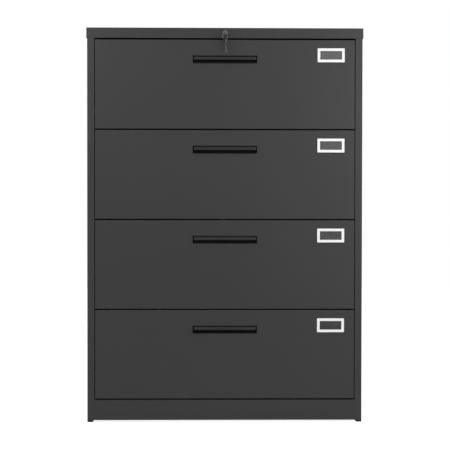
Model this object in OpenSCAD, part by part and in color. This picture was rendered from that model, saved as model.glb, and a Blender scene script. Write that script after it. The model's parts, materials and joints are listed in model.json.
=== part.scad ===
// Four-drawer lateral filing cabinet of folded steel sheet, in millimetres.
// X runs to the right, Y to the back, Z up. The origin is on the floor, under the middle of the
// whole envelope, which runs from the end of the key's bow to the back of the cap.

/* [Shell] */
// Width over the side panels
body_w = 895; // [700:5:1100]
// Depth from the face of the stiles to the back of the back panel
body_d = 450; // [400:5:620]
// Thickness of the shell's sheet
shell_t = 0.9; // [0.7:0.1:1.2]
// Width of each stile
stile_w = 23; // [20:0.5:40]
// Depth of the fold behind each stile
stile_fold = 15; // [8:1:17]
// Width of the folds at the back and top edges of a side panel
side_fold = 14; // [12:1:18]
// Height of the kick plate
kick_h = 66.5; // [40:0.5:110]
// Depth of the kick plate's top fold
kick_fold = 30; // [20:1:60]
// Depth of the kick plate's bottom fold
kick_hem = 15; // [8:1:20]
// Height of the folds along three edges of the bottom panel
bottom_fold = 20; // [14:1:35]
// Height of the cap's flanges
cap_h = 33.5; // [28:0.5:50]
// How far the cap stands out past the body at the sides and back
cap_lip = 2.5; // [1.5:0.5:8]
// Clearance between the cap's front flange and the stiles behind it
cap_gap = 0.1; // [0.1:0.1:2]

/* [Feet] */
// Height of a foot under the side panel
foot_h = 6; // [3:0.5:20]
// Width of a foot
foot_w = 19; // [14:0.5:20]
// Length of a foot
foot_l = 30; // [18:1:60]
// Radius of a foot's lower edges
foot_edge_r = 2.5; // [0.5:0.5:3]
// Radius of the plug that holds a foot
foot_plug_r = 3.9; // [2.5:0.1:5]

/* [Uprights] */
// Width of an upright
upright_w = 35; // [24:1:60]
// Thickness of an upright's sheet
upright_t = 1.2; // [0.8:0.1:2]
// Width of a hook slot
slot_w = 4; // [3:0.5:6]
// Length of a hook slot
slot_l = 14; // [8:1:20]

/* [Drawers] */
// Height of a drawer front
front_h = 289; // [280:1:340]
// Depth of a drawer front
front_d = 18; // [17.5:0.5:30]
// Thickness of a drawer front's sheet
front_t = 0.9; // [0.7:0.1:1.2]
// Thickness of the sheet that closes the back of a front
liner_t = 0.8; // [0.6:0.1:1]
// Gap between one drawer front and the next
drawer_gap = 4; // [2:0.5:8]
// Gap between the top drawer front and the cap
top_gap = 5; // [2:0.5:12]
// Gap between a drawer front and each stile
side_gap = 2; // [1:0.25:4]
// Thickness of the sheet of a drawer's bottom, back and sides
drawer_t = 0.8; // [0.6:0.1:1.2]
// Height of a drawer's bottom above the lower edge of its front
bottom_rise = 10; // [6:1:20]
// Height of a drawer's sides and back
drawer_side_h = 252; // [235:1:255]
// Width of the fold along the top of a drawer's side
rim_fold = 8; // [4:1:14]
// Space behind a drawer for its catch and the lock bar
rear_space = 37; // [32:1:80]

/* [Hanger bars] */
// Thickness of a hanger bar
bar_t = 2.5; // [1.5:0.5:4]
// Height of a hanger bar
bar_h = 12; // [8:1:20]
// Depth of the notch that holds a hanger bar
bar_notch = 10; // [5:1:12]
// Distance from the front and the back of a drawer to the bars, set for the wider folders
bar_inset = 6; // [2:1:20]
// Distance from the first bar to the spare notches, set for the narrower folders
narrow_span = 305; // [200:1:305]

/* [Slides] */
// Thickness of a closed slide
slide_t = 12.7; // [12:0.1:19]
// Height of a slide's outer member
slide_h = 45; // [36:1:60]
// Thickness of a slide's sheet
slide_wall = 1.2; // [1:0.1:1.5]
// Height of the ball race between two members
race_h = 3; // [2:0.2:4]
// Height of a slide's centre line above the lower edge of the drawer front
slide_rise = 60; // [45:1:200]
// Distance that a drawer travels
drawer_travel = 380; // [200:5:380]

/* [Handle] */
// Width of the handle
handle_w = 212; // [120:1:300]
// Height of the handle
handle_h = 27.5; // [26:0.5:34]
// Distance from the top of the drawer front down to the handle
handle_drop = 49.5; // [20:0.5:120]
// Width of the handle's rim
handle_rim = 1; // [0.5:0.25:4]
// Thickness of the handle's rim in front of the sheet
handle_rim_t = 1.2; // [0.8:0.1:2.5]
// Thickness of the handle's walls
handle_wall = 1.2; // [1:0.1:2]
// Depth of the finger recess behind the sheet's face
recess_d = 15.5; // [13:0.5:16]
// Outer radius of the hooded grip
grip_r = 6.5; // [5.5:0.5:7]
// Thickness of the hooded grip
grip_t = 1.8; // [1.2:0.1:2.4]
// How far the hooded grip stands out of the sheet's face
grip_proud = 4.5; // [2:0.5:6]
// Height of the finger opening under the grip
finger_h = 10; // [7:0.5:11]
// Height of the flat skirt below the grip's rounded part
grip_hang = 3.2; // [0.5:0.1:4]
// Gap between each end of the grip and the recess's side wall
grip_gap = 3; // [1:0.5:6]

/* [Card holder] */
// Width of the card holder
card_w = 88; // [60:1:120]
// Height of the card holder
card_h = 45; // [30:1:60]
// Radius of the card holder's corners
card_r = 2; // [0.5:0.5:4]
// Width of the card holder's border
card_border = 8.5; // [5:0.5:10]
// Thickness of the card holder
card_t = 2.5; // [2:0.1:4]
// Thickness of the window
window_t = 0.8; // [0.5:0.1:1]
// How far the window reaches under the border on each side
window_lap = 2; // [1:0.5:3]
// Distance from the top of the drawer front down to the card holder
card_drop = 27; // [10:1:60]
// Distance from the side of the drawer front to the card holder
card_inset = 33.5; // [20:0.5:120]

/* [Lock] */
// Radius of the lock's face
bezel_r = 8.5; // [8.3:0.1:10]
// Thickness of the lock's face
bezel_t = 2; // [1:0.25:4]
// Radius of the lock barrel
barrel_r = 7.4; // [7:0.1:7.8]
// Length of the lock barrel behind the cap's face
barrel_l = 22; // [16:1:30]
// Radius of the lock plug
plug_r = 5.7; // [5.3:0.1:6]
// Length of the solid end of the plug behind the keyway
plug_end = 3; // [2:0.5:8]
// Width over the flats of the lock nut
nut_af = 20; // [18:0.5:22]
// Thickness of the lock nut
nut_t = 3; // [2:0.5:5]
// Radius of the lock rod
rod_r = 3; // [2:0.25:4]
// Distance from the rod's centre to the crank pin's
crank_r = 10; // [8:0.5:11]
// Radius of the crank pin
pin_r = 2; // [1.5:0.25:2.5]
// Thickness of the crank
crank_t = 2; // [1.5:0.25:3]

/* [Lock bar] */
// Width of the lock bar
lock_bar_w = 22; // [16:1:30]
// Thickness of the lock bar
lock_bar_t = 2; // [1.5:0.25:3]
// Thickness of the sheet of the bar's guides and of the catches
guide_t = 1.2; // [1:0.1:1.6]
// Height of a guide
guide_h = 30; // [15:1:50]
// Width of a hook and of a catch
hook_w = 20; // [12:1:22]
// Length of a hook's finger
finger_l = 20; // [18:1:24]
// Depth of a catch behind the drawer
catch_d = 16; // [14:1:18]
// Height of a catch's lip
catch_h = 14; // [12:1:16]
// Height of a catch above the lower edge of the drawer front
catch_rise = 200; // [60:1:215]
// Play between a hook's finger and the catch when the drawer is locked
catch_play = 2; // [1:0.5:4]

/* [Keys] */
// Radius of a key's bow
bow_r = 11.5; // [9:0.5:12]
// Thickness of a key
key_t = 2; // [1.5:0.1:2.2]
// Height of a key's blade
blade_h = 8; // [6:0.25:9]
// Length of a key's blade
blade_l = 25; // [18:1:27]
// Height of the neck between bow and blade
neck_h = 10; // [9:0.5:12]
// Distance from the middle of the bow to the shoulder of the blade
shoulder_x = 13.5; // [13:0.5:18]
// Radius of the hole in a key's bow
bow_hole_r = 4; // [2:0.25:4.5]
// Distance from the middle of the bow to its hole
bow_hole_x = 0; // [0:0.5:4]
// Distance between the cuts along a key's blade
cut_pitch = 3.5; // [2.8:0.1:3.5]
// Depth of the shallowest cut
cut_low = 1; // [0.5:0.1:1.4]
// How much deeper each step of a cut is
cut_step = 0.5; // [0.3:0.1:0.6]

/* [Screws] */
// Radius of a screw's head
screw_head_r = 4; // [3:0.25:5]
// Height of a screw's head
screw_head_h = 2; // [1.5:0.25:3]
// Width of the cross recess in a screw's head
recess_w = 1.1; // [0.8:0.1:1.4]
// Length of the cross recess
recess_l = 4.6; // [3:0.2:5]
// Depth of the cross recess
recess_deep = 1.2; // [0.6:0.1:1.3]
// Radius of a screw's shank
screw_r = 1.9; // [1.5:0.1:2.2]
// Length of a screw under its head
screw_l = 6; // [4:0.5:8]

/* [Hidden] */
$fn = 48;
drawer_count = 4;
seat_gap = 0.1;     // radial clearance of a pin, plug or screw in its hole
run_gap = 0.3;      // clearance between a sliding piece and what guides it
member_gap = 0.6;   // clearance between the webs of two slide members
slot_gap = 0.5;     // clearance between the crank pin and the lock bar's slot
hook_lift = 3;      // clearance between a raised hook and the catch below it
slide_end_gap = 5;  // distance from the back of a slide to the back of the drawer
slide_front_gap = 2;  // distance from a drawer front to its slides
post_gap = 5;       // distance from a stile's fold to the first upright
back_rise = 5;      // height of the back panel's lower edge above the side panels'
back_inset = 0.5;   // distance from the side of the back panel to the side of the body
screw_rows = 6;     // screws up each side of the back panel
foot_screws = 3;    // screws along the bottom of the back panel

DRAWER_PIECES = ["drawer_front", "front_liner", "drawer_pan", "drawer_sides", "handle",
    "card_frame", "card_window", "hanger_bars", "slide_inner", "slide_middle"];

// The key stands out of the lock by this much, and sets where the body lies in the envelope.
plug_proud = 0.3;
shoulder_gap = 0.3;
key_reach = bezel_t + plug_proud + shoulder_gap + shoulder_x + bow_r;
front_y = (key_reach + cap_gap + shell_t - cap_lip - body_d) / 2;
back_y = front_y + body_d;
cap_face_y = front_y - cap_gap - shell_t;
back_in = back_y - shell_t;

side_out = body_w / 2;
side_in = side_out - shell_t;
opening = side_out - stile_w;
front_half = opening - side_gap;
drawer_half = opening - slide_t;

kick_top = foot_h + kick_h;
floor_z = kick_top + shell_t;
function drawer_z(n) = kick_top + drawer_gap + (drawer_count - n) * (front_h + drawer_gap);
cap_z = drawer_z(1) + front_h + top_gap;
top_z = cap_z + cap_h;
side_top = top_z - shell_t;
lock_z = cap_z + cap_h / 2;

drawer_y = front_y + front_d;
drawer_d = body_d - front_d - rear_space;
drawer_back = drawer_y + drawer_d;
slide_y = drawer_y + slide_front_gap;
slide_l = drawer_d - slide_front_gap - slide_end_gap;
first_post_y = front_y + stile_fold + post_gap;
last_post_y = slide_y + slide_l - upright_w;

middle_h = slide_h - 2 * (slide_wall + race_h);
inner_h = middle_h - 2 * (slide_wall + race_h);
middle_out = opening - slide_wall - member_gap;
inner_tip = middle_out - slide_wall - member_gap;
cage_l = slide_l - drawer_travel / 2 - 2 * slide_end_gap;

// The lock bar drops as the crank turns a quarter turn, from an eighth above level to one below.
crank_rise = crank_r * sin(45);
lock_bar_y = back_in - guide_t - run_gap - lock_bar_t;
crank_y = lock_bar_y - slot_gap - crank_t;
lock_rod_y = cap_face_y - bezel_t - plug_proud + blade_l + shoulder_gap + plug_end;
slot_z = lock_z + crank_rise;
slot_half = pin_r + slot_gap;
slot_web = 3;

// Steps of depth of the cuts along a key's lower edge, from the shoulder to the tip
KEY_CUTS = [1, 3, 0, 2, 3];

module block(low, high) {
    translate(low) cube(high - low);
}

module both_sides() {
    children();
    mirror([1, 0, 0]) children();
}

// A round bar along Y, from one y to the other
module y_rod(r, from, to, x = 0, z = 0) {
    translate([x, from, z]) rotate([-90, 0, 0]) cylinder(r = r, h = to - from);
}

// A round bar along X, from one x to the other
module x_rod(r, from, to, y = 0, z = 0) {
    translate([from, y, z]) rotate([0, 90, 0]) cylinder(r = r, h = to - from);
}

// A plate in the XZ plane with rounded corners, between two opposite corners
module rounded_plate(low, high, r, from, to) {
    for (x = [low[0] + r, high[0] - r]) for (z = [low[1] + r, high[1] - r])
        y_rod(r, from, to, x, z);
    block([low[0] + r, from, low[1]], [high[0] - r, to, high[1]]);
    block([low[0], from, low[1] + r], [high[0], to, high[1] - r]);
}

// Places where screws go through the back panel
screw_x = side_in - side_fold / 2;
function screw_row_z(i) = floor_z + bottom_fold + i * (side_top - floor_z - 3 * bottom_fold)
    / (screw_rows - 1);
SIDE_SCREWS = [for (i = [0 : screw_rows - 1]) [screw_x, screw_row_z(i)]];
FOOT_SCREWS = [for (i = [0 : foot_screws - 1])
    [(i / (foot_screws - 1) - 0.5) * (2 * side_in - 4 * side_fold), kick_top - bottom_fold / 2]];

module screw_holes(places) {
    for (p = places) y_rod(screw_r + seat_gap, back_in - 2 * shell_t, back_y + shell_t, p[0], p[1]);
}

// Places of the feet on the right: the corner nearest the front, with the outer side flush
FEET_Y = [front_y, back_in - foot_l];
foot_x = side_out - foot_w / 2;

module side_panel() {
    color("dimgray") difference() {
        union() {
            block([side_in, front_y, foot_h], [side_out, back_in, side_top]);
            block([opening, front_y, foot_h], [side_out, front_y + shell_t, side_top]);
            block([opening, front_y, foot_h], [opening + shell_t, front_y + stile_fold, side_top]);
            block([side_in - side_fold, back_in - shell_t, foot_h], [side_out, back_in, side_top]);
            block([side_in - side_fold, front_y, side_top - shell_t], [side_out, back_in, side_top]);
            block([opening, front_y, foot_h], [side_out, back_in, foot_h + shell_t]);
        }
        screw_holes(SIDE_SCREWS);
        for (y = FEET_Y) translate([foot_x, y + foot_l / 2, 0])
            cylinder(r = foot_plug_r + seat_gap, h = foot_h + 2 * shell_t);
    }
}

module left_side_panel() mirror([1, 0, 0]) side_panel();

module right_side_panel() side_panel();

module back_panel() {
    half = side_out - back_inset;
    color("dimgray") difference() {
        block([-half, back_in, foot_h + back_rise], [half, back_y, side_top]);
        both_sides() screw_holes(SIDE_SCREWS);
        screw_holes(FOOT_SCREWS);
    }
}

module bottom_panel() {
    y0 = front_y + stile_fold;
    y1 = back_in - shell_t;
    fold_z = kick_top - bottom_fold;
    color("dimgray") difference() {
        union() {
            block([-side_in, y0, kick_top], [side_in, y1, floor_z]);
            both_sides() block([side_in - shell_t, first_post_y, fold_z], [side_in, y1, floor_z]);
            block([side_fold - side_in, y1, fold_z], [side_in - side_fold, back_in, floor_z]);
        }
        screw_holes(FOOT_SCREWS);
    }
}

module kick_plate() {
    color("dimgray") {
        block([-opening, front_y, foot_h], [opening, front_y + shell_t, kick_top]);
        block([-opening, front_y, kick_top - shell_t], [opening, front_y + kick_fold, kick_top]);
        block([-opening, front_y, foot_h], [opening, front_y + kick_hem, foot_h + shell_t]);
    }
}

module top_panel() {
    low = [-side_out - cap_lip, cap_face_y, cap_z];
    high = [side_out + cap_lip, back_y + cap_lip, top_z];
    wall = [shell_t, shell_t, 0];
    color("dimgray") difference() {
        block(low, high);
        block(low + wall - [0, 0, 1], high - wall - [0, 0, shell_t]);
        y_rod(barrel_r + seat_gap, cap_face_y - 1, cap_face_y + 2 * shell_t, 0, lock_z);
    }
}

// A foot's front view has rounded lower corners
module feet() {
    r = foot_edge_r;
    color("black") both_sides() for (y = FEET_Y) {
        for (x = [side_out - foot_w + r, side_out - r]) y_rod(r, y, y + foot_l, x, r);
        block([side_out - foot_w + r, y, 0], [side_out - r, y + foot_l, foot_h]);
        block([side_out - foot_w, y, r], [side_out, y + foot_l, foot_h]);
        translate([foot_x, y + foot_l / 2, r]) cylinder(r = foot_plug_r, h = foot_h);
    }
}

module upright(y) {
    z0 = floor_z;
    z1 = side_top - shell_t;
    difference() {
        block([opening, y, z0], [side_in, y + upright_w, z1]);
        block([opening + upright_t, y + upright_t, z0 - 1],
              [side_in + 1, y + upright_w - upright_t, z1 + 1]);
        for (n = [1 : drawer_count]) for (side = [-1, 1]) {
            z = drawer_z(n) + slide_rise + side * slide_h;
            block([opening - 1, y + (upright_w - slot_w) / 2, z - slot_l / 2],
                  [opening + 2 * upright_t, y + (upright_w + slot_w) / 2, z + slot_l / 2]);
        }
    }
}

module right_uprights() {
    color("silver") {
        upright(first_post_y);
        upright(last_post_y);
    }
}

module left_uprights() mirror([1, 0, 0]) right_uprights();

// A channel along Y whose web is at x = web_x and whose flanges reach x = tip_x
module channel(web_x, tip_x, h, z) {
    inward = tip_x < web_x ? -1 : 1;
    x0 = min(web_x, tip_x);
    x1 = max(web_x, tip_x);
    difference() {
        block([x0, slide_y, z - h / 2], [x1, slide_y + slide_l, z + h / 2]);
        translate([inward * slide_wall, 0, 0])
            block([x0, slide_y - 1, z - h / 2 + slide_wall],
                  [x1, slide_y + slide_l + 1, z + h / 2 - slide_wall]);
    }
}

module right_slide_outers() {
    color("gainsboro") for (n = [1 : drawer_count])
        channel(opening, drawer_half + slide_wall + member_gap, slide_h, drawer_z(n) + slide_rise);
}

module left_slide_outers() mirror([1, 0, 0]) right_slide_outers();

// A strip of balls in its retainer, in the race over or under a member of height h
module ball_cage(x0, x1, h, z, y) {
    for (side = [-1, 1]) {
        mid = z + side * (h + race_h) / 2;
        block([x0, y, mid - race_h / 2 + run_gap], [x1, y + cage_l, mid + race_h / 2 - run_gap]);
    }
}

module slide_middle(n) {
    z = drawer_z(n) + slide_rise;
    tip = drawer_half + slide_wall + member_gap;
    color("gainsboro") both_sides() {
        channel(middle_out, tip, middle_h, z);
        ball_cage(tip, middle_out, middle_h, z, slide_y + slide_l - cage_l);
        ball_cage(tip, middle_out - slide_wall - run_gap, inner_h, z, slide_y);
    }
}

module slide_inner(n) {
    color("gainsboro") both_sides()
        channel(drawer_half, inner_tip, inner_h, drawer_z(n) + slide_rise);
}

module drawer_front(n) {
    z0 = drawer_z(n);
    z1 = z0 + front_h;
    cut = [handle_w / 2 - handle_rim, z1 - handle_drop - handle_h + handle_rim,
           z1 - handle_drop - handle_rim];
    color("dimgray") difference() {
        block([-front_half, front_y, z0], [front_half, drawer_y, z1]);
        block([front_t - front_half, front_y + front_t, z0 + front_t],
              [front_half - front_t, drawer_y + 1, z1 - front_t]);
        block([-cut[0] - seat_gap, front_y - 1, cut[1] - seat_gap],
              [cut[0] + seat_gap, front_y + 2 * front_t, cut[2] + seat_gap]);
    }
}

module front_liner(n) {
    color("dimgray") block([front_t - front_half, drawer_y - liner_t, drawer_z(n) + front_t],
        [front_half - front_t, drawer_y, drawer_z(n) + front_h - front_t]);
}

// Bottom and back are one folded sheet, with the catch welded behind it
module drawer_pan(n) {
    inner = drawer_half - drawer_t;
    z0 = drawer_z(n) + bottom_rise;
    z_catch = drawer_z(n) + catch_rise;
    catch_back = drawer_back + catch_d;
    color("darkgray") {
        block([-inner, drawer_y, z0], [inner, drawer_back, z0 + drawer_t]);
        block([-inner, drawer_back - drawer_t, z0], [inner, drawer_back, z0 + drawer_side_h]);
        block([-hook_w / 2, drawer_back, z_catch], [hook_w / 2, catch_back, z_catch + guide_t]);
        block([-hook_w / 2, catch_back - guide_t, z_catch], [hook_w / 2, catch_back, z_catch + catch_h]);
    }
}

// Places of the two hanger bars, and of all notches
BARS_Y = [drawer_y + bar_inset, drawer_back - drawer_t - bar_inset - bar_t];
NOTCHES_Y = concat(BARS_Y, [BARS_Y[0] + narrow_span]);

module drawer_sides(n) {
    z0 = drawer_z(n) + bottom_rise;
    z1 = z0 + drawer_side_h;
    inner = drawer_half - drawer_t;
    color("darkgray") both_sides() difference() {
        union() {
            block([inner, drawer_y, z0], [drawer_half, drawer_back, z1]);
            block([inner - rim_fold, drawer_y, z1 - drawer_t],
                  [drawer_half, drawer_back - drawer_t, z1]);
        }
        for (y = NOTCHES_Y) block([inner - rim_fold - 1, y - seat_gap, z1 - bar_notch],
            [drawer_half + 1, y + bar_t + seat_gap, z1 + 1]);
    }
}

module hanger_bars(n) {
    z0 = drawer_z(n) + bottom_rise + drawer_side_h - bar_notch;
    color("silver") for (y = BARS_Y)
        block([-drawer_half, y, z0], [drawer_half, y + bar_t, z0 + bar_h]);
}

// A moulded pull: a rim on the sheet, a finger recess behind it and a hooded grip across the top
module handle(n) {
    z0 = drawer_z(n) + front_h - handle_drop - handle_h;
    z1 = z0 + handle_h;
    half = handle_w / 2;
    box_half = half - handle_rim;
    edge_z = z0 + handle_rim + handle_wall + finger_h;
    grip_z = edge_z + grip_hang;
    grip_y = front_y - grip_proud + grip_r;
    grip_half = box_half - handle_wall - grip_gap;
    roof_z = grip_z + grip_r;
    back = front_y + recess_d;
    color([0.1, 0.1, 0.1]) {
        difference() {
            union() {
                rounded_plate([-half, z0], [half, z1], handle_rim / 2, front_y - handle_rim_t, front_y);
                block([-box_half, front_y, z0 + handle_rim], [box_half, back, z1 - handle_rim]);
            }
            block([handle_wall - box_half, front_y - 2 * handle_rim_t, z0 + handle_rim + handle_wall],
                  [box_half - handle_wall, back - handle_wall, z1 - handle_rim - handle_wall]);
        }
        intersection() {
            difference() {
                x_rod(grip_r, -grip_half, grip_half, grip_y, grip_z);
                x_rod(grip_r - grip_t, -half, half, grip_y, grip_z);
            }
            block([-grip_half, front_y - grip_proud, grip_z], [grip_half, grip_y, roof_z]);
        }
        block([-grip_half, front_y - grip_proud, edge_z], [grip_half, front_y - grip_proud + grip_t, grip_z]);
        block([-grip_half, grip_y, roof_z - grip_t], [grip_half, back, roof_z]);
    }
}

module card_frame(n) {
    x1 = front_half - card_inset;
    x0 = x1 - card_w;
    z1 = drawer_z(n) + front_h - card_drop;
    z0 = z1 - card_h;
    lap = card_border - window_lap;
    rabbet = card_t - (card_t - window_t) / 2;
    color("white") difference() {
        rounded_plate([x0, z0], [x1, z1], card_r, front_y - card_t, front_y);
        block([x0 + card_border, front_y - 2 * card_t, z0 + card_border],
              [x1 - card_border, front_y + 1, z1 - card_border]);
        block([x0 + lap, front_y - rabbet, z0 + lap], [x1 - lap, front_y + 1, z1 - lap]);
    }
}

module card_window(n) {
    x1 = front_half - card_inset - card_border + window_lap - seat_gap;
    x0 = x1 - card_w + 2 * (card_border - window_lap + seat_gap);
    z1 = drawer_z(n) + front_h - card_drop - card_border + window_lap - seat_gap;
    z0 = z1 - card_h + 2 * (card_border - window_lap + seat_gap);
    y0 = front_y - card_t + (card_t - window_t) / 2;
    color([0.8, 0.85, 0.9, 0.4]) block([x0, y0, z0], [x1, y0 + window_t, z1]);
}

module screws() {
    color("silver") {
        both_sides() for (p = SIDE_SCREWS) screw(p);
        for (p = FOOT_SCREWS) screw(p);
    }
}

// A pan-head screw with a domed top and a cross recess
module screw(p) {
    dome_r = 2 * screw_head_r;
    top_y = back_y + screw_head_h;
    y_rod(screw_r, back_y - screw_l, back_y, p[0], p[1]);
    difference() {
        intersection() {
            y_rod(screw_head_r, back_y, top_y, p[0], p[1]);
            translate([p[0], top_y - dome_r, p[1]]) sphere(r = dome_r);
        }
        for (arm = [[recess_l, recess_w], [recess_w, recess_l]])
            block([p[0] - arm[0] / 2, top_y - recess_deep, p[1] - arm[1] / 2],
                  [p[0] + arm[0] / 2, top_y + 1, p[1] + arm[1] / 2]);
    }
}

module lock_barrel() {
    bore_end = cap_face_y + barrel_l;
    color("silver") difference() {
        union() {
            y_rod(bezel_r, cap_face_y - bezel_t, cap_face_y, 0, lock_z);
            y_rod(barrel_r, cap_face_y, bore_end, 0, lock_z);
        }
        y_rod(plug_r + seat_gap, cap_face_y - bezel_t - 1, bore_end + 1, 0, lock_z);
    }
}

module lock_nut() {
    y0 = cap_face_y + shell_t;
    color("silver") difference() {
        translate([0, y0, lock_z]) rotate([-90, 30, 0])
            cylinder(r = nut_af / 2 / cos(30), h = nut_t, $fn = 6);
        y_rod(barrel_r + seat_gap, y0 - 1, y0 + nut_t + 1, 0, lock_z);
    }
}

module lock_plug() {
    y0 = cap_face_y - bezel_t - plug_proud;
    half = [key_t / 2 + seat_gap, blade_h / 2 + seat_gap];
    color("silver") difference() {
        y_rod(plug_r, y0, lock_rod_y, 0, lock_z);
        block([-half[0], y0 - 1, lock_z - half[1]], [half[0], lock_rod_y - plug_end, lock_z + half[1]]);
    }
}

module lock_rod() {
    color("silver") y_rod(rod_r, lock_rod_y, crank_y, 0, lock_z);
}

// The crank's arm points up and to the right while the drawers are free
module lock_cam() {
    pin_end = lock_bar_y + lock_bar_t;
    color("silver") translate([0, 0, lock_z]) rotate([0, -45, 0]) {
        y_rod(2 * rod_r, crank_y, crank_y + crank_t);
        block([0, crank_y, -pin_r], [crank_r, crank_y + crank_t, pin_r]);
        y_rod(pin_r, crank_y, pin_end, crank_r);
    }
}

module lock_bar() {
    y0 = lock_bar_y;
    y1 = y0 + lock_bar_t;
    slot_x = [crank_rise - slot_half, crank_r + slot_half];
    head_z = lock_z - slot_half - slot_web;
    catch_back = drawer_back + catch_d;
    finger_y = catch_back - guide_t - catch_play - lock_bar_t;
    color("silver") {
        block([-lock_bar_w / 2, y0, drawer_z(drawer_count) + catch_rise - guide_h],
              [lock_bar_w / 2, y1, head_z - seat_gap]);
        for (n = [1 : drawer_count]) {
            tip = drawer_z(n) + catch_rise + catch_h + hook_lift;
            block([-hook_w / 2, finger_y, tip + finger_l - lock_bar_t], [hook_w / 2, y0, tip + finger_l]);
            block([-hook_w / 2, finger_y, tip], [hook_w / 2, finger_y + lock_bar_t, tip + finger_l]);
        }
        // The slotted head is a plate of its own, welded to the bar's end
        difference() {
            block([-lock_bar_w / 2, y0, head_z], [slot_x[1] + slot_web, y1, slot_z + slot_half + slot_web]);
            block([slot_x[0], y0 - 1, slot_z - slot_half], [slot_x[1], y1 + 1, slot_z + slot_half]);
        }
    }
}

// Clips on the back panel guide the lock bar, and a plate under the cap carries the rod
GUIDES_Z = [for (n = [1 : drawer_count - 1]) drawer_z(n) + bottom_rise];
module lock_guides() {
    half = lock_bar_w / 2 + run_gap;
    lip_y = lock_bar_y - run_gap;
    hanger_half = 3 * rod_r;
    hanger_y = crank_y - 4 * crank_t;
    lip_w = 4;
    color("silver") {
        for (z = GUIDES_Z) difference() {
            block([-half - guide_t, lip_y - guide_t, z], [half + guide_t, back_in, z + guide_h]);
            block([-half, lip_y, z - 1], [half, back_in - guide_t, z + guide_h + 1]);
            block([-half + lip_w, lip_y - 2 * guide_t, z - 1], [half - lip_w, lip_y + 1, z + guide_h + 1]);
        }
        difference() {
            block([-hanger_half, hanger_y, lock_z - 2 * rod_r],
                  [hanger_half, hanger_y + guide_t, side_top]);
            y_rod(rod_r + seat_gap, hanger_y - 1, hanger_y + 2 * guide_t, 0, lock_z);
        }
    }
}

// A key in the plane x = 0: the bow in front, the blade in the keyway
module key() {
    y_bow = cap_face_y - bezel_t - plug_proud - shoulder_gap - shoulder_x;
    y_shoulder = y_bow + shoulder_x;
    half = key_t / 2;
    color("silver") difference() {
        union() {
            x_rod(bow_r, -half, half, y_bow, lock_z);
            block([-half, y_bow, lock_z - neck_h / 2], [half, y_shoulder, lock_z + neck_h / 2]);
            block([-half, y_shoulder, lock_z - blade_h / 2],
                  [half, y_shoulder + blade_l, lock_z + blade_h / 2]);
        }
        x_rod(bow_hole_r, -key_t, key_t, y_bow - bow_hole_x, lock_z);
        for (i = [0 : len(KEY_CUTS) - 1])
            key_notch(y_shoulder + blade_l - cut_pitch * (len(KEY_CUTS) - i), lock_z - blade_h / 2,
                      cut_low + cut_step * KEY_CUTS[i]);
        key_notch(y_shoulder + blade_l, lock_z - blade_h / 2, blade_h / 4);
        key_notch(y_shoulder + blade_l, lock_z + blade_h / 2, blade_h / 4);
    }
}

// A V-shaped cut across the blade, at one place along its edge
module key_notch(y, z, depth) {
    side = depth * sqrt(2);
    translate([0, y, z]) rotate([45, 0, 0]) cube([2 * key_t, side, side], center = true);
}

left_side_panel();
right_side_panel();
back_panel();
bottom_panel();
kick_plate();
top_panel();
feet();
left_uprights();
right_uprights();
left_slide_outers();
right_slide_outers();
lock_guides();
screws();
lock_barrel();
lock_nut();
lock_plug();
lock_rod();
lock_cam();
lock_bar();
key();
for (n = [1 : drawer_count]) {
    drawer_front(n);
    front_liner(n);
    drawer_pan(n);
    drawer_sides(n);
    handle(n);
    card_frame(n);
    card_window(n);
    hanger_bars(n);
    slide_inner(n);
    slide_middle(n);
}
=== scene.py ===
"""The look of a four-drawer lateral filing cabinet: rounded sheet metal, finishes, small loose pieces and the
studio."""
import json
import math

import bmesh
import bpy
from mathutils import Matrix, Vector


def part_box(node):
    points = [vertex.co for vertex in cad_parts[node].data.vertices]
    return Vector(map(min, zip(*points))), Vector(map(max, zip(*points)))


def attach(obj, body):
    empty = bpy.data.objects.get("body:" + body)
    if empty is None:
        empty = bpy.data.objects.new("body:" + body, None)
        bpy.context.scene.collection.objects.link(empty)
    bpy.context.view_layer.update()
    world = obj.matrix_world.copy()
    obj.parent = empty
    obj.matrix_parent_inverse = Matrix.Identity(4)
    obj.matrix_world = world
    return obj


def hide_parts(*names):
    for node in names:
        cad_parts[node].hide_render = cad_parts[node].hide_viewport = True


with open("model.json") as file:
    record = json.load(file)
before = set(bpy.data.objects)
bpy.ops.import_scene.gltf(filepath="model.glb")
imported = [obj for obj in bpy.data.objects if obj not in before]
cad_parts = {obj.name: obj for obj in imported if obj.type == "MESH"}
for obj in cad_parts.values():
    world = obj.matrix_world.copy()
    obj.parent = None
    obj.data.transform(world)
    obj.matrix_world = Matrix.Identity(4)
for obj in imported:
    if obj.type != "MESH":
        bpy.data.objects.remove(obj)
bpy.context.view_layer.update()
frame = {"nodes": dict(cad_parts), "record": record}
nodes = frame["nodes"]
DRAWERS = range(1, 5)

# Sheet metal, in metres: the sheet's thickness, the outer radius of a fold, the radius of a fold at a seam, the break
# on a cut edge, the radius of a fold that lies flush against another sheet, and the width under which a face is a cut
# edge. Then the segments round a fold, and a height that is above the whole kick plate
SHEET = 0.0009
FOLD_R = 0.0013
SEAM_R = 0.0006
CUT_R = 0.0002
FLUSH_R = 0.00005
CUT_WIDTH = 2.5 * SHEET
FOLD_SEGMENTS = 4
ABOVE_KICK_PLATE = 1

# Radii of the pulls' edges and of pieces that keep their own mesh, in metres
PULL_R = 0.0005
FRAME_R = 0.0006
FOOT_R = 0.0004
SMALL_R = 0.0002

# Angles up to which faces count as one flat face, from which an edge is rounded, and from which it stays sharp in the
# shading
FLAT_ANGLE = math.radians(1.0)
ROUND_ANGLE = math.radians(40)
SHARP_ANGLE = math.radians(50)

# Settling of bevels: the most steps, the step after which close neighbours move too, how near a neighbour is that
# counts, and the cosine between the normals of two faces that are folded over each other
SETTLE_STEPS = 80
SETTLE_WIDER = 20
SETTLE_REACH = 0.003
FOLDED_COSINE = -0.3

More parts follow.
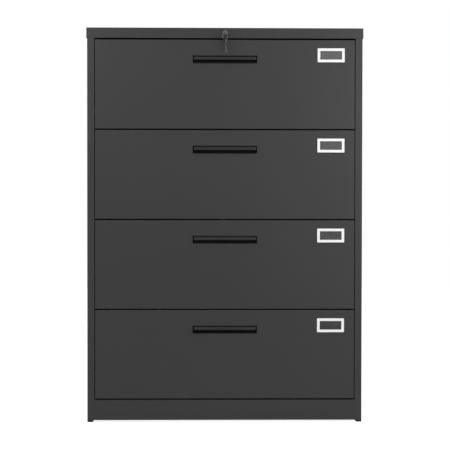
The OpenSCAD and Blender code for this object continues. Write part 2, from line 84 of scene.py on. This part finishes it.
# Distances that count as none, in metres: along an edge, to a cutting plane, between corners that are joined, across
# an upright edge and between places
LEVEL = 1e-9
ON_PLANE = 1e-7
WELD = 1e-6
UPRIGHT = 1e-5
TOUCH = 0.0001

# Keys and key ring, in metres and radians. The ring's pitch is in thicknesses of its wire, and RING_PLAY is the play
# of a wire in a bow's hole. SPARE_ALONG is how far from the ring's lowest point the spare key hangs
BOW_R = 0.0115
BOW_HOLE_R = 0.004
RING_R = 0.0118
RING_WIRE_R = 0.00075
RING_PLAY = 0.0004
RING_TURNS = 1.85
RING_PITCH = 1.05
RING_START = 0.6
RING_STEPS = 120
RING_YAW = math.radians(47)
WIRE_SIDES = 12
SPARE_ALONG = 0.0022
SPARE_YAW = math.radians(6)
SPARE_LEAN = math.radians(2.5)

# Balls in the slides, in metres: their size and spacing, the retainers' length with what both ends leave free, and
# (x, distance above and below the member's middle) of the outer and the inner races
BALL_R = 0.00148
BALL_PITCH = 0.012
CAGE_L = 0.188
CAGE_ENDS = 0.004
OUTER_RACE = (0.41815, 0.0198)
INNER_RACE = (0.4174, 0.0156)

# Handle, in metres. Heights are above the handle's lowest line
# The grip: half its length, where its ends start to draw in, how far and in how many steps, its lower and upper edges,
# how far its axis lies behind the drawer's face, and from where its top swells and by how much
GRIP_HALF = 0.1008
GRIP_END = 0.0930
GRIP_DRAW = 0.0016
GRIP_STEPS = 6
GRIP_LOW = 0.0120
GRIP_HIGH = 0.0220
GRIP_AXIS = 0.0020
GRIP_TURN = 0.0154
GRIP_SWELL = 1.15
# The flange and the recess: how far before the drawer's face a point must be to belong to them, the height under which
# it belongs to the flange's lower edge, how far that edge slopes back, and the recess's upper edge, with how far it
# rolls down
FLANGE_OUT = 0.001
FLANGE_EDGE = 0.0015
FLANGE_SLOPE = 0.0009
RECESS_TOP = 0.0253
RECESS_ROLL = 0.0007

# Floor: its corners, in metres, its grey, and how brightly it glows to the camera
FLOOR = [(-4, -1.3), (4, -1.3), (4, 6), (-4, 6)]
FLOOR_GREY = (0.30, 0.30, 0.30, 1)
FLOOR_GLOW = 0.85

# Lamps: name, place, what they aim at, width and height, in metres, and power in watts
LAMPS = [
    ("key_light", (2.0, -3.0, 2.0), (0.2, -0.2, 0.8), (2.8, 2.8), 17),
    ("fill_light", (-2.2, -3.0, 1.6), (-0.1, -0.2, 0.8), (2.8, 2.8), 12.5),
    ("top_light", (0, -0.4, 3.6), (0, 0, 1.2), (2.5, 2.0), 12.5),
    ("right_light", (0.95, -0.8, 0.92), (0.35, -0.2, 0.87), (0.9, 0.9), 2.95),
    ("cap_light", (0.8, -0.65, 1.4), (0.45, -0.2, 1.2), (0.35, 0.35), 0.7),
    ("left_light", (-0.85, -0.7, 1.4), (-0.45, -0.2, 1.2), (0.6, 0.6), 1.35),
]

# World: brightness by height of the direction, from straight down at -1 to straight up at 1, in reflections and in
# diffuse light; the strength of the diffuse light; and the reflections' strengths in front and elsewhere, with the
# directions between which they change
GLOSS_SKY = [(-1.0, 0.20), (-0.5, 0.20), (-0.2, 0.175), (-0.08, 0.235), (0.02, 0.635), (0.12, 0.91), (0.3, 0.82),
             (0.6, 0.58), (1.0, 0.40)]
SOFT_SKY = [(-1.0, 0.05), (-0.1, 0.05), (0.2, 1.0), (1.0, 1.0)]
SOFT_STRENGTH = 1.06
GLOSS_FRONT = 1.0
GLOSS_ELSEWHERE = 0.32
GLOSS_CHANGE = (-0.95, -0.2)

# Camera: its place, in metres, its turns, and its lens and sensor, in millimetres
CAMERA_PLACE = (-0.068, -4.2112, 0.7177)
CAMERA_YAW = math.radians(0.98)
CAMERA_PITCH = math.radians(1.07)
CAMERA_ROLL = math.radians(0.07)
CAMERA_LENS = 98.3
CAMERA_SENSOR = 36
CAMERA_CLIP = 50


# Materials

def node_tree(material):
    material.use_nodes = True
    tree = material.node_tree
    return tree, tree.nodes, tree.links, tree.nodes["Principled BSDF"]


def noise(tree, scale, detail=2.0, roughness=0.5, stretch=None):
    """Noise in the piece's own coordinates; stretch scales each axis before it."""
    coords = tree.nodes.new("ShaderNodeTexCoord")
    texture = tree.nodes.new("ShaderNodeTexNoise")
    texture.inputs["Scale"].default_value = scale
    texture.inputs["Detail"].default_value = detail
    texture.inputs["Roughness"].default_value = roughness
    source = coords.outputs["Object"]
    if stretch:
        mapping = tree.nodes.new("ShaderNodeMapping")
        mapping.inputs["Scale"].default_value = stretch
        tree.links.new(source, mapping.inputs["Vector"])
        source = mapping.outputs["Vector"]
    tree.links.new(source, texture.inputs["Vector"])
    return texture.outputs["Fac"]


def spread(tree, value, low, high, source=(0.3, 0.7)):
    """Maps a noise value to a range of numbers."""
    node = tree.nodes.new("ShaderNodeMapRange")
    node.inputs["From Min"].default_value = source[0]
    node.inputs["From Max"].default_value = source[1]
    node.inputs["To Min"].default_value = low
    node.inputs["To Max"].default_value = high
    tree.links.new(value, node.inputs["Value"])
    return node.outputs["Result"]


def tint(tree, value, low, high, source=(0.3, 0.7)):
    """Maps a noise value to a mix of two colours."""
    ramp = tree.nodes.new("ShaderNodeValToRGB")
    ramp.color_ramp.elements[0].position = source[0]
    ramp.color_ramp.elements[1].position = source[1]
    ramp.color_ramp.elements[0].color = (*low, 1)
    ramp.color_ramp.elements[1].color = (*high, 1)
    tree.links.new(value, ramp.inputs["Fac"])
    return ramp.outputs["Color"]


def bump(tree, layers):
    """Stacks bump layers of (height, distance in metres, strength) and returns the normal."""
    normal = None
    for height, distance, strength in layers:
        node = tree.nodes.new("ShaderNodeBump")
        node.inputs["Distance"].default_value = distance
        node.inputs["Strength"].default_value = strength
        tree.links.new(height, node.inputs["Height"])
        if normal:
            tree.links.new(normal, node.inputs["Normal"])
        normal = node.outputs["Normal"]
    return normal


def charcoal_paint():
    """Powder coat: fine orange peel over a sheet that is not quite flat."""
    mat = bpy.data.materials.new("charcoal_paint")
    tree, _, links, shader = node_tree(mat)
    drift = noise(tree, 2.3, 1.0)
    speck = noise(tree, 650, 2.0)
    peel = noise(tree, 420, 1.0)
    wave = noise(tree, 3.1, 0.0)
    links.new(tint(tree, drift, (0.0385, 0.0385, 0.0390), (0.0407, 0.0407, 0.0412)),
              shader.inputs["Base Color"])
    links.new(spread(tree, speck, 0.42, 0.50), shader.inputs["Roughness"])
    links.new(bump(tree, [(wave, 0.004, 0.012), (peel, 0.00025, 0.10)]), shader.inputs["Normal"])
    shader.inputs["Specular IOR Level"].default_value = 0.35
    return mat


def moulded_black(name, base, roughness, recess=None):
    """Moulded plastic with a fine spark-eroded grain. Past the y value recess it is rough, and its colour is painted
    near black there as painted shade deep in the recess.
    """
    mat = bpy.data.materials.new(name)
    tree, nodes_, links, shader = node_tree(mat)
    grain = noise(tree, 1500, 2.0)
    patch = noise(tree, 25, 2.0)
    colour = tint(tree, patch, [0.9 * c for c in base], [1.1 * c for c in base])
    gloss = spread(tree, patch, roughness - 0.04, roughness + 0.04)
    if recess is not None:
        coords = nodes_.new("ShaderNodeTexCoord")
        split = nodes_.new("ShaderNodeSeparateXYZ")
        links.new(coords.outputs["Object"], split.inputs["Vector"])
        depth = spread(tree, split.outputs["Y"], 0.0, 1.0, (recess, recess + 0.002))
        # A mix node's inputs: 0 is the factor, 2 and 3 are its numbers, 6 and 7 its colours
        # Painted shade: past the recess the colour turns near black, standing in for the shade deep in the recess
        recess_shade = nodes_.new("ShaderNodeMix")
        recess_shade.data_type = "RGBA"
        links.new(depth, recess_shade.inputs[0])
        links.new(colour, recess_shade.inputs[6])
        recess_shade.inputs[7].default_value = (0.003, 0.003, 0.003, 1)
        colour = recess_shade.outputs[2]
        duller = nodes_.new("ShaderNodeMix")
        links.new(depth, duller.inputs[0])
        links.new(gloss, duller.inputs[2])
        duller.inputs[3].default_value = 0.85
        gloss = duller.outputs[0]
    links.new(colour, shader.inputs["Base Color"])
    links.new(gloss, shader.inputs["Roughness"])
    links.new(bump(tree, [(grain, 0.00015, 0.15)]), shader.inputs["Normal"])
    shader.inputs["Specular IOR Level"].default_value = 0.4
    return mat


def card_plastic():
    mat = bpy.data.materials.new("card_plastic")
    tree, _, links, shader = node_tree(mat)
    patch = noise(tree, 60, 2.0)
    links.new(tint(tree, patch, (0.90, 0.90, 0.89), (0.94, 0.94, 0.93)), shader.inputs["Base Color"])
    links.new(spread(tree, patch, 0.30, 0.38), shader.inputs["Roughness"])
    return mat


def window_plastic():
    """Clear sheet: glass for sight and reflections, open to the lamps."""
    mat = bpy.data.materials.new("window_plastic")
    tree, nodes_, links, shader = node_tree(mat)
    shader.inputs["Base Color"].default_value = (0.97, 0.98, 0.98, 1)
    shader.inputs["IOR"].default_value = 1.64
    shader.inputs["Transmission Weight"].default_value = 1.0
    haze = noise(tree, 45, 1.0)
    links.new(spread(tree, haze, 0.04, 0.08), shader.inputs["Roughness"])
    path = nodes_.new("ShaderNodeLightPath")
    clear = nodes_.new("ShaderNodeBsdfTransparent")
    mix = nodes_.new("ShaderNodeMixShader")
    links.new(path.outputs["Is Shadow Ray"], mix.inputs["Fac"])
    links.new(shader.outputs["BSDF"], mix.inputs[1])
    links.new(clear.outputs["BSDF"], mix.inputs[2])
    links.new(mix.outputs["Shader"], nodes_["Material Output"].inputs["Surface"])
    return mat


def plated_steel(name, base, roughness, stretch, scale=160):
    """Plated steel with fine marks, drawn out by stretch, and a little cloudiness."""
    mat = bpy.data.materials.new(name)
    tree, _, links, shader = node_tree(mat)
    marks = noise(tree, scale, 3.0, 0.6, stretch)
    cloud = noise(tree, 55, 2.0)
    links.new(tint(tree, cloud, [0.88 * c for c in base], base), shader.inputs["Base Color"])
    links.new(spread(tree, marks, roughness - 0.07, roughness + 0.07), shader.inputs["Roughness"])
    links.new(bump(tree, [(marks, 0.0001, 0.08)]), shader.inputs["Normal"])
    shader.inputs["Metallic"].default_value = 1.0
    return mat


MATERIALS = {
    "charcoal_paint": charcoal_paint(),
    "handle_plastic": moulded_black("handle_plastic", (0.016, 0.016, 0.0165), 0.36,
                                    recess=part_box("drawer_front_1")[0].y + 0.0005),
    "foot_plastic": moulded_black("foot_plastic", (0.020, 0.020, 0.020), 0.55),
    "card_plastic": card_plastic(),
    "window_plastic": window_plastic(),
    "slide_steel": plated_steel("slide_steel", (0.62, 0.62, 0.63), 0.32, (1, 0.06, 1)),
    "screw_steel": plated_steel("screw_steel", (0.58, 0.58, 0.60), 0.34, (1, 1, 1), 500),
    "lock_metal": plated_steel("lock_metal", (0.20, 0.20, 0.20), 0.30, (1, 1, 1), 700),
    "key_metal": plated_steel("key_metal", (0.23, 0.23, 0.23), 0.48, (1, 0.2, 1), 700),
}
SLOT_OF = {s["node"]: s["material_slot"] for s in frame["record"]["subparts"]}
BODY_OF = {n: body for body, members in frame["record"]["behaviour"]["bodies"].items() for n in members}


def dress(piece, slot):
    piece.data.materials.clear()
    piece.data.materials.append(MATERIALS[slot])


# Pieces

def link(name, mesh, slot, body):
    """A new piece in a record slot's finish, which rides on a body."""
    piece = bpy.data.objects.new(name, mesh)
    bpy.context.scene.collection.objects.link(piece)
    dress(piece, slot)
    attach(piece, body)
    return piece


def face_width(face, edge):
    """How far a face reaches inwards from the middle of one of its edges."""
    loop = next(corner for corner in face.loops if corner.edge == edge)
    along = (loop.link_loop_next.vert.co - loop.vert.co).normalized()
    inward = face.normal.cross(along)
    middle = (edge.verts[0].co + edge.verts[1].co) / 2
    width = 1.0
    for corner in face.loops:
        p, q = corner.vert.co - middle, corner.link_loop_next.vert.co - middle
        p_along, q_along = p.dot(along), q.dot(along)
        if p_along * q_along <= 0 and abs(p_along - q_along) > LEVEL:
            t = p_along / (p_along - q_along)
            reach = p.dot(inward) * (1 - t) + q.dot(inward) * t
            if reach > WELD:
                width = min(width, reach)
    return width


def settle(bm):
    """Evens out the corners where narrow bevels meet and fold over."""
    for step in range(SETTLE_STEPS):
        bm.normal_update()
        folded = set()
        for edge in bm.edges:
            if edge.is_manifold and edge.link_faces[0].normal.dot(edge.link_faces[1].normal) < FOLDED_COSINE:
                folded.update(edge.verts)
        if not folded:
            break
        if step > SETTLE_WIDER:
            folded |= {e.other_vert(v) for v in folded for e in v.link_edges if e.calc_length() < CUT_R}
        places = {}
        for vert in folded:
            near = [e.other_vert(vert).co for e in vert.link_edges if e.calc_length() < SETTLE_REACH]
            if len(near) > 1:
                places[vert] = sum(near, Vector()) / len(near)
        for vert, place in places.items():
            vert.co = place


def bevel_edges(piece, width, segments, by_weight=False):
    """Rounds edges, and keeps the flat faces flat in the shading."""
    bevel = piece.modifiers.new("edges", "BEVEL")
    bevel.limit_method = "WEIGHT" if by_weight else "ANGLE"
    bevel.angle_limit = ROUND_ANGLE
    bevel.width = width
    bevel.segments = segments
    bevel.loop_slide = False
    bevel.use_clamp_overlap = not by_weight
    shaped = piece.evaluated_get(bpy.context.evaluated_depsgraph_get())
    bm = bmesh.new()
    bm.from_mesh(shaped.to_mesh())
    shaped.to_mesh_clear()
    settle(bm)
    for edge in bm.edges:
        edge.smooth = edge.is_manifold and edge.calc_face_angle() < SHARP_ANGLE
    bm.to_mesh(piece.data)
    bm.free()
    piece.modifiers.clear()
    normals = piece.modifiers.new("normals", "WEIGHTED_NORMAL")
    normals.mode = "FACE_AREA"
    normals.weight = 90
    normals.keep_sharp = True


def joined(node):
    """A node's mesh with its corners joined and its flat faces whole, in a bmesh."""
    bm = bmesh.new()
    bm.from_mesh(nodes[node].data)
    bmesh.ops.remove_doubles(bm, verts=bm.verts, dist=WELD)
    bmesh.ops.dissolve_limit(bm, angle_limit=FLAT_ANGLE, verts=bm.verts, edges=bm.edges)
    bm.normal_update()
    return bm


def cut(bm, place, normal):
    """Adds edges where a plane crosses the mesh."""
    bmesh.ops.bisect_plane(bm, geom=bm.verts[:] + bm.edges[:] + bm.faces[:], plane_co=place, plane_no=normal,
                           dist=ON_PLANE)


def bent_sheet(node, seams=(), flush=None):
    """Replaces a sheet-metal node: folds bent to a radius, cut edges broken. Folds at the x values in seams stay
    tight, and below the height flush they stay almost sharp, where another sheet lies flush against them."""
    slot, body = SLOT_OF[node], BODY_OF[node]
    bm = joined(node)
    if flush:
        cut(bm, (0, 0, flush), (0, 0, 1))
        bm.normal_update()
    weight = bm.edges.layers.float.new("bevel_weight_edge")
    for edge in bm.edges:
        angle = edge.calc_face_angle_signed(0)
        if abs(angle) < ROUND_ANGLE:
            continue
        middle = (edge.verts[0].co + edge.verts[1].co) / 2
        upright = abs(edge.verts[0].co.x - edge.verts[1].co.x) < UPRIGHT
        at_seam = upright and any(abs(abs(middle.x) - x) < TOUCH for x in seams)
        if at_seam and flush and middle.z < flush:
            r = FLUSH_R
        elif at_seam and angle > 0:
            r = SEAM_R
        elif min(face_width(f, edge) for f in edge.link_faces) < CUT_WIDTH:
            r = CUT_R
        else:
            r = FOLD_R if angle > 0 else FOLD_R - SHEET
        edge[weight] = r / FOLD_R
    mesh = bpy.data.meshes.new(node + "_bent")
    for face in bm.faces:
        face.smooth = True
    bm.to_mesh(mesh)
    bm.free()
    piece = link(node + "_bent", mesh, slot, body)
    bevel_edges(piece, FOLD_R, FOLD_SEGMENTS, by_weight=True)
    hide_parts(node)


def soften(piece, width, segments=2):
    """Small radii on a piece that keeps its own mesh."""
    weld = piece.modifiers.new("weld", "WELD")
    weld.merge_threshold = WELD
    bevel = piece.modifiers.new("edges", "BEVEL")
    bevel.limit_method = "ANGLE"
    bevel.angle_limit = ROUND_ANGLE
    bevel.width = width
    bevel.segments = segments
    bevel.harden_normals = True


def wire(name, points, radius, slot, body):
    """A wire of round section along points, closed at both ends."""
    bm = bmesh.new()
    rings = []
    last = None
    for i, p in enumerate(points):
        before = points[i - 1] if i else p
        after = points[i + 1] if i < len(points) - 1 else p
        along = (after - before).normalized()
        side = last - along * last.dot(along) if last else along.orthogonal()
        side.normalize()
        last = side
        up = along.cross(side)
        rings.append([bm.verts.new(p + radius * (side * math.cos(a) + up * math.sin(a)))
                      for a in (2 * math.pi * k / WIRE_SIDES for k in range(WIRE_SIDES))])
    for low, high in zip(rings, rings[1:]):
        for k in range(WIRE_SIDES):
            beside = (k + 1) % WIRE_SIDES
            bm.faces.new((low[k], low[beside], high[beside], high[k]))
    for ring in (rings[0][::-1], rings[-1]):
        bm.faces.new(ring)
    bmesh.ops.recalc_face_normals(bm, faces=bm.faces)
    mesh = bpy.data.meshes.new(name)
    bm.to_mesh(mesh)
    bm.free()
    mesh.shade_smooth()
    link(name, mesh, slot, body)


def key_ring(centre, along, across):
    """A split ring: a flat coil of wire, a little under two turns, level along one way and thick across it."""
    points = []
    for i in range(RING_STEPS + 1):
        turn = i / RING_STEPS * RING_TURNS
        angle = 2 * math.pi * turn + RING_START
        out = (turn / RING_TURNS - 0.5) * 2 * RING_WIRE_R * RING_PITCH
        points.append(centre + along * RING_R * math.cos(angle) + across * out
                      + Vector((0, 0, RING_R * math.sin(angle))))
    wire("key_ring", points, RING_WIRE_R, "key_metal", "key")


def spare_key(first_hole, hole):
    """The second key is the first one over again. It hangs from the ring by its bow's hole, blade down, with its
    cuts to the cabinet, and leans and turns a little with the ring."""
    mesh = nodes["key"].data.copy()
    mesh.name = "spare_key"
    # From pointing back to pointing down, then round
    turn = (Matrix.Rotation(-SPARE_LEAN, 4, "Y") @ Matrix.Rotation(math.pi + SPARE_YAW, 4, "Z")
            @ Matrix.Rotation(math.radians(-90), 4, "X"))
    mesh.transform(Matrix.Translation(hole) @ turn @ Matrix.Translation(-first_hole))
    piece = link("spare_key", mesh, "key_metal", "key")
    soften(piece, SMALL_R)


def handle(n):
    """Replaces a handle: its grip draws in at both ends, its flange slopes back below, and its edges are rounded."""
    node = f"handle_{n}"
    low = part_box(node)[0]
    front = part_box(f"drawer_front_{n}")[0].y
    axis_y = front + GRIP_AXIS
    bm = joined(node)
    for i in range(GRIP_STEPS):
        x = GRIP_END + (GRIP_HALF - GRIP_END) * i / GRIP_STEPS
        cut(bm, (x, 0, 0), (1, 0, 0))
        cut(bm, (-x, 0, 0), (1, 0, 0))
    for v in bm.verts:
        x, y, z = v.co
        if low.z + GRIP_LOW < z < low.z + GRIP_HIGH and y < axis_y and abs(x) < GRIP_HALF + TOUCH:
            t = min(1, max(0, (abs(x) - GRIP_END) / (GRIP_HALF - GRIP_END)))
            v.co.y += GRIP_DRAW * (1 - math.sqrt(1 - t * t)) * (axis_y - y) / (axis_y - low.y)
        elif z < low.z + FLANGE_EDGE and y < front - FLANGE_OUT:
            v.co.y += FLANGE_SLOPE
        if GRIP_TURN < z - low.z < GRIP_HIGH and abs(x) < GRIP_HALF + TOUCH:
            v.co.z = low.z + GRIP_TURN + (z - low.z - GRIP_TURN) * GRIP_SWELL
        elif abs(z - low.z - RECESS_TOP) < TOUCH and y < front - FLANGE_OUT:
            v.co.z -= RECESS_ROLL
    bm.normal_update()
    mesh = bpy.data.meshes.new(f"pull_{n}")
    bm.to_mesh(mesh)
    bm.free()
    mesh.shade_smooth()
    piece = link(f"pull_{n}", mesh, SLOT_OF[node], BODY_OF[node])
    bevel_edges(piece, PULL_R, 3)
    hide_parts(node)


def slide_balls(n):
    """The balls in the retainers, above and below each member, on both sides of a drawer."""
    low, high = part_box(f"slide_middle_{n}")
    middle_z = (low.z + high.z) / 2
    count = int((CAGE_L - CAGE_ENDS) / BALL_PITCH)
    lead = (CAGE_L - (count - 1) * BALL_PITCH) / 2
    bm = bmesh.new()
    for (x, rise), start in ((OUTER_RACE, high.y - CAGE_L), (INNER_RACE, low.y)):
        for side in (-1, 1):
            for tier in (-1, 1):
                for i in range(count):
                    place = Matrix.Translation((side * x, start + lead + i * BALL_PITCH, middle_z + tier * rise))
                    bmesh.ops.create_icosphere(bm, subdivisions=1, radius=BALL_R, matrix=place)
    mesh = bpy.data.meshes.new(f"slide_balls_{n}")
    bm.to_mesh(mesh)
    bm.free()
    mesh.shade_smooth()
    link(f"slide_balls_{n}", mesh, "slide_steel", f"slide_middle_{n}")


for name, node in nodes.items():
    dress(node, SLOT_OF[name])

for name in ("top_panel", "back_panel", "bottom_panel"):
    bent_sheet(name)
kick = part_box("kick_plate")[1]
bent_sheet("kick_plate", seams=(kick.x,), flush=ABOVE_KICK_PLATE)
for name in ("left_side_panel", "right_side_panel"):
    bent_sheet(name, seams=(kick.x,), flush=kick.z)
for n in DRAWERS:
    bent_sheet(f"drawer_front_{n}")
    handle(n)
    slide_balls(n)
    soften(nodes[f"card_frame_{n}"], FRAME_R, 3)
    for name in ("drawer_pan", "drawer_sides", "hanger_bars"):
        soften(nodes[f"{name}_{n}"], SMALL_R)
for name in ("feet", "lock_barrel", "lock_plug", "key", "lock_bar", "lock_cam", "lock_nut", "screws"):
    soften(nodes[name], FOOT_R if name == "feet" else SMALL_R)

key_low, key_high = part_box("key")
lock_z = (key_low.z + key_high.z) / 2
hang = BOW_HOLE_R - RING_WIRE_R - RING_PLAY
first_hole = Vector((0, key_low.y + BOW_R, lock_z))
ring_centre = first_hole - Vector((0, 0, hang + RING_R))
ring_along = Vector((math.cos(RING_YAW), math.sin(RING_YAW), 0))
key_ring(ring_centre, ring_along, Vector((-ring_along.y, ring_along.x, 0)))
ring_low = math.sqrt(RING_R ** 2 - SPARE_ALONG ** 2)
spare_key(first_hole, ring_centre + ring_along * SPARE_ALONG - Vector((0, 0, ring_low + hang)))


# Studio

def build_world():
    """White behind the object. Reflections see a soft panel in front, above eye level, and grey elsewhere."""
    world = bpy.data.worlds.new("studio")
    bpy.context.scene.world = world
    world.use_nodes = True
    tree = world.node_tree
    tree.nodes.clear()
    coords = tree.nodes.new("ShaderNodeTexCoord")
    split = tree.nodes.new("ShaderNodeSeparateXYZ")
    tree.links.new(coords.outputs["Generated"], split.inputs["Vector"])

    def by_height(stops):
        ramp = tree.nodes.new("ShaderNodeValToRGB")
        elements = ramp.color_ramp.elements
        while len(elements) < len(stops):
            elements.new(0.5)
        for element, (z, grey) in zip(elements, stops):
            element.position = (z + 1) / 2
            element.color = (grey, grey, grey, 1)
        tree.links.new(spread(tree, split.outputs["Z"], 0, 1, (-1, 1)), ramp.inputs["Fac"])
        return ramp.outputs["Color"]

    def background(colour, strength):
        node = tree.nodes.new("ShaderNodeBackground")
        tree.links.new(colour, node.inputs["Color"])
        if isinstance(strength, float):
            node.inputs["Strength"].default_value = strength
        else:
            tree.links.new(strength, node.inputs["Strength"])
        return node.outputs["Background"]

    def mixed(factor, first, second):
        node = tree.nodes.new("ShaderNodeMixShader")
        tree.links.new(factor, node.inputs["Fac"])
        tree.links.new(first, node.inputs[1])
        tree.links.new(second, node.inputs[2])
        return node.outputs["Shader"]

    def math_node(operation, first, second):
        node = tree.nodes.new("ShaderNodeMath")
        node.operation = operation
        for socket, value in zip(node.inputs, (first, second)):
            if isinstance(value, float):
                socket.default_value = value
            else:
                tree.links.new(value, socket)
        return node.outputs["Value"]

    path = tree.nodes.new("ShaderNodeLightPath")
    panel = spread(tree, split.outputs["Y"], GLOSS_FRONT, GLOSS_ELSEWHERE, GLOSS_CHANGE)
    mirrored = background(by_height(GLOSS_SKY), panel)
    ambient = background(by_height(SOFT_SKY), SOFT_STRENGTH)
    reflected = math_node("GREATER_THAN", path.outputs["Glossy Depth"], 0.5)
    undiffused = math_node("LESS_THAN", path.outputs["Diffuse Depth"], 0.5)
    light = mixed(math_node("MULTIPLY", reflected, undiffused), ambient, mirrored)
    white = tree.nodes.new("ShaderNodeBackground")
    white.inputs["Color"].default_value = (1, 1, 1, 1)
    straight = math_node("MULTIPLY", undiffused, math_node("SUBTRACT", 1.0, reflected))
    through = math_node("MULTIPLY", path.outputs["Is Transmission Ray"], straight)
    seen = math_node("MAXIMUM", path.outputs["Is Camera Ray"], through)
    out = tree.nodes.new("ShaderNodeOutputWorld")
    tree.links.new(mixed(seen, light, white.outputs["Background"]), out.inputs["Surface"])


def build_floor():
    """A pale floor that stays white to the camera and keeps a faint shadow."""
    mat = bpy.data.materials.new("floor")
    tree, nodes_, links, shader = node_tree(mat)
    shader.inputs["Base Color"].default_value = FLOOR_GREY
    shader.inputs["Roughness"].default_value = 0.9
    shader.inputs["Specular IOR Level"].default_value = 0.0
    shader.inputs["Emission Color"].default_value = (1, 1, 1, 1)
    path = nodes_.new("ShaderNodeLightPath")
    glow = spread(tree, path.outputs["Is Camera Ray"], 0.0, FLOOR_GLOW, (0, 1))
    links.new(glow, shader.inputs["Emission Strength"])
    bm = bmesh.new()
    bm.faces.new([bm.verts.new((x, y, 0)) for x, y in FLOOR])
    mesh = bpy.data.meshes.new("floor")
    bm.to_mesh(mesh)
    bm.free()
    floor = bpy.data.objects.new("floor", mesh)
    bpy.context.scene.collection.objects.link(floor)
    floor.data.materials.append(mat)


def lamp(name, place, aim, size, power):
    """A rectangular lamp that faces what it aims at."""
    data = bpy.data.lights.new(name, "AREA")
    data.shape = "RECTANGLE"
    data.size, data.size_y = size
    data.energy = power
    light = bpy.data.objects.new(name, data)
    light.location = place
    light.rotation_euler = (Vector(aim) - Vector(place)).to_track_quat("-Z", "Y").to_euler()
    bpy.context.scene.collection.objects.link(light)


def build_camera():
    """The photograph's view: almost square to the front, from a little left of the middle and 0.72 m up."""
    forward = Vector((math.sin(CAMERA_YAW) * math.cos(CAMERA_PITCH), math.cos(CAMERA_YAW) * math.cos(CAMERA_PITCH),
                      -math.sin(CAMERA_PITCH)))
    level = Vector((math.cos(CAMERA_YAW), -math.sin(CAMERA_YAW), 0))
    up = level.cross(forward)
    right = level * math.cos(CAMERA_ROLL) + up * math.sin(CAMERA_ROLL)
    up = right.cross(forward)
    data = bpy.data.cameras.new("camera")
    data.sensor_width = CAMERA_SENSOR
    data.lens = CAMERA_LENS
    data.clip_end = CAMERA_CLIP
    camera = bpy.data.objects.new("camera", data)
    bpy.context.scene.collection.objects.link(camera)
    turn = Matrix((right, up, -forward)).transposed().to_4x4()
    camera.matrix_world = Matrix.Translation(CAMERA_PLACE) @ turn
    bpy.context.scene.camera = camera


build_world()
build_floor()
for lamp_values in LAMPS:
    lamp(*lamp_values)
build_camera()
bpy.context.scene.view_settings.view_transform = "Standard"
